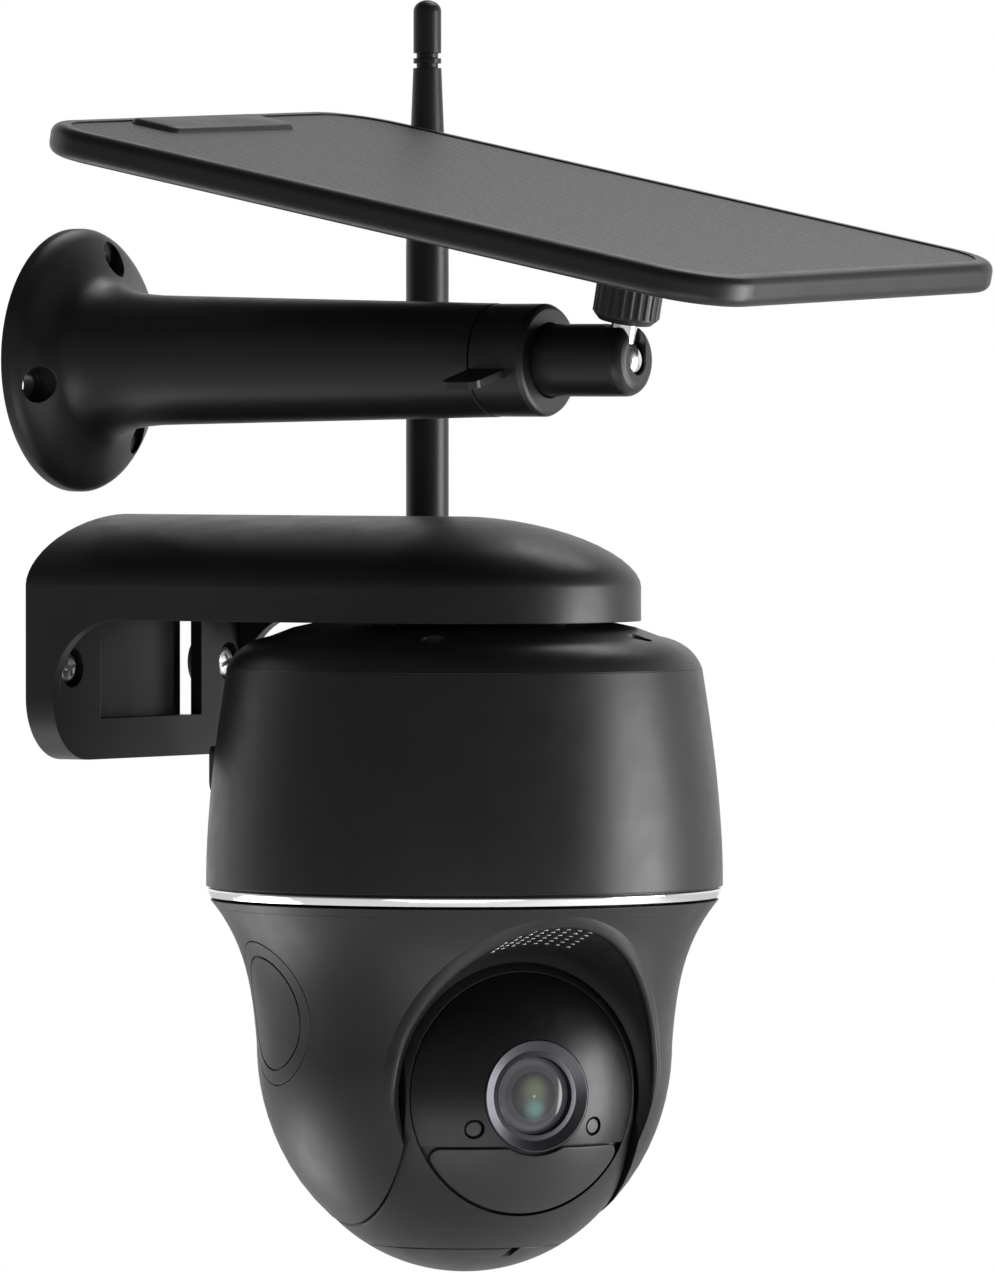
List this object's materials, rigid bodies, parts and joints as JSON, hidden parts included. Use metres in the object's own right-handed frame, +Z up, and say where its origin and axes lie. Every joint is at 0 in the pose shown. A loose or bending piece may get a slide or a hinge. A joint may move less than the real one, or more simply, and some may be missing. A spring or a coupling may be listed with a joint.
{
  "type": "security camera",
  "caption": "Battery pan and tilt security camera under a hooded wall bracket, with a folding antenna and a solar panel on a jointed arm.",
  "frame": {"origin": "on the wall plane, half way between the two screws of the camera's wall bracket", "axes": "+Y into the wall, -Y out of it towards the viewer of the mounted camera, +X along the wall, +Z up"},
  "size_m": [0.1219, 0.1775, 0.2426],
  "materials": {
    "satin_black": "satin moulded",
    "shell_black": "satin moulded",
    "gloss_black": "polished",
    "window_grey": "fine matt",
    "chrome": "bright",
    "steel": "plain",
    "brass": "turned",
    "white_plastic": "moulded",
    "rubber": "matt",
    "board": "solder mask",
    "cell_can": "shrink sleeve",
    "lens_glass": "coated",
    "solar_cells": "laminated"
  },
  "bodies": {
    "root": {"wall_bracket": "satin_black", "bracket_screws": "steel", "lock_ring": "steel", "lock_ring_screws": "steel", "solar_arm": "satin_black", "top_cap": "satin_black", "cap_screws": "steel", "cap_seal": "rubber", "upper_housing": "satin_black", "trim_ring": "chrome", "base_plate": "satin_black", "pan_washer": "white_plastic", "pan_motor": "steel", "main_board": "board", "battery_tray": "satin_black", "battery_cells": "cell_can", "usb_socket": "steel", "switch_block": "steel", "antenna_mount": "satin_black"},
    "power_switch": {"power_switch": "satin_black"},
    "port_plug": {"port_plug": "rubber"},
    "antenna_knuckle": {"antenna_knuckle": "satin_black", "antenna_pin": "steel"},
    "antenna": {"antenna_sleeve": "satin_black", "antenna_tip": "satin_black"},
    "pan_pinion": {"pan_pinion": "brass"},
    "pan_head": {"pan_shell": "shell_black", "pan_deck": "shell_black", "pan_gear": "white_plastic", "pan_clip": "steel", "side_covers": "shell_black", "tilt_bushes": "brass", "tilt_motor": "steel", "speaker": "rubber", "speaker_grille": "shell_black"},
    "tilt_pinion": {"tilt_pinion": "brass"},
    "tilt_head": {"head_front": "shell_black", "head_rear": "shell_black", "head_lid": "shell_black", "face_panel": "gloss_black", "lower_window": "window_grey", "small_windows": "gloss_black", "lens_bezel": "shell_black", "lens_barrel": "shell_black", "lens_glass": "lens_glass", "sensor_board": "board", "tilt_shafts": "steel", "tilt_gear": "white_plastic"},
    "lock_collar": {"lock_collar": "satin_black"},
    "socket_tube": {"socket_tube": "satin_black"},
    "ball_stud": {"ball_stud": "chrome"},
    "jam_nut": {"jam_nut": "satin_black"},
    "solar_panel": {"panel_tray": "satin_black", "solar_laminate": "solar_cells", "panel_plaque": "satin_black", "cable_gland": "satin_black"}
  },
  "joints": [
    {"name": "pan", "type": "hinge", "parent": "root", "child": "pan_head", "pos_m": [0, -0.0779, 0], "axis": [0, 0, 1], "range_deg": [-177.5, 177.5]},
    {"name": "pan_pinion_spin", "type": "hinge", "parent": "root", "child": "pan_pinion", "pos_m": [0, -0.0519, 0], "axis": [0, 0, 1], "range_deg": [-600, 600]},
    {"name": "tilt", "type": "hinge", "parent": "pan_head", "child": "tilt_head", "pos_m": [0, -0.0779, -0.0792], "axis": [-0.8339, 0.5519, 0], "range_deg": [-110, 30]},
    {"name": "tilt_pinion_spin", "type": "hinge", "parent": "pan_head", "child": "tilt_pinion", "pos_m": [0, -0.0779, -0.0644], "axis": [-0.8339, 0.5519, 0], "range_deg": [-80, 270]},
    {"name": "antenna_swivel", "type": "hinge", "parent": "root", "child": "antenna_knuckle", "pos_m": [0.04373, -0.04134, -0.014], "axis": [0.7672, 0.6414, 0], "range_deg": [0, 90]},
    {"name": "antenna_fold", "type": "hinge", "parent": "antenna_knuckle", "child": "antenna", "pos_m": [0.04373, -0.04134, -0.014], "axis": [-0.6414, 0.7672, 0], "range_deg": [0, 90]},
    {"name": "collar_turn", "type": "hinge", "parent": "root", "child": "lock_collar", "pos_m": [-0.0165, 0, 0.0586], "axis": [0, -1, 0], "range_deg": [0, 60]},
    {"name": "socket_turn", "type": "hinge", "parent": "root", "child": "socket_tube", "pos_m": [-0.0165, 0, 0.0586], "axis": [0, -1, 0], "range_deg": [-2, 40]},
    {"name": "stem_swing", "type": "hinge", "parent": "socket_tube", "child": "ball_stud", "pos_m": [-0.0165, -0.1227, 0.0586], "axis": [0.9994, 0, 0.0349], "range_deg": [-10, 75]},
    {"name": "panel_spin", "type": "hinge", "parent": "ball_stud", "child": "solar_panel", "pos_m": [-0.0165, -0.1227, 0.0586], "axis": [-0.0342, -0.1977, 0.9797], "range_deg": [0, 180]},
    {"name": "nut_turn", "type": "hinge", "parent": "ball_stud", "child": "jam_nut", "pos_m": [-0.0165, -0.1227, 0.0586], "axis": [-0.0342, -0.1977, 0.9797], "range_deg": [-180, 180]},
    {"name": "switch_slide", "type": "slide", "parent": "root", "child": "power_switch", "axis": [-0.9781, 0.2079, 0], "range_m": [0, 0.0024]},
    {"name": "plug_pull", "type": "slide", "parent": "root", "child": "port_plug", "axis": [-0.3746, 0.9272, 0], "range_m": [0, 0.006]}
  ],
  "couplings": [
    {"joint": "pan_pinion_spin", "follows": "pan", "ratio": -3.3333},
    {"joint": "tilt_pinion_spin", "follows": "tilt", "ratio": -2.3636}
  ]
}
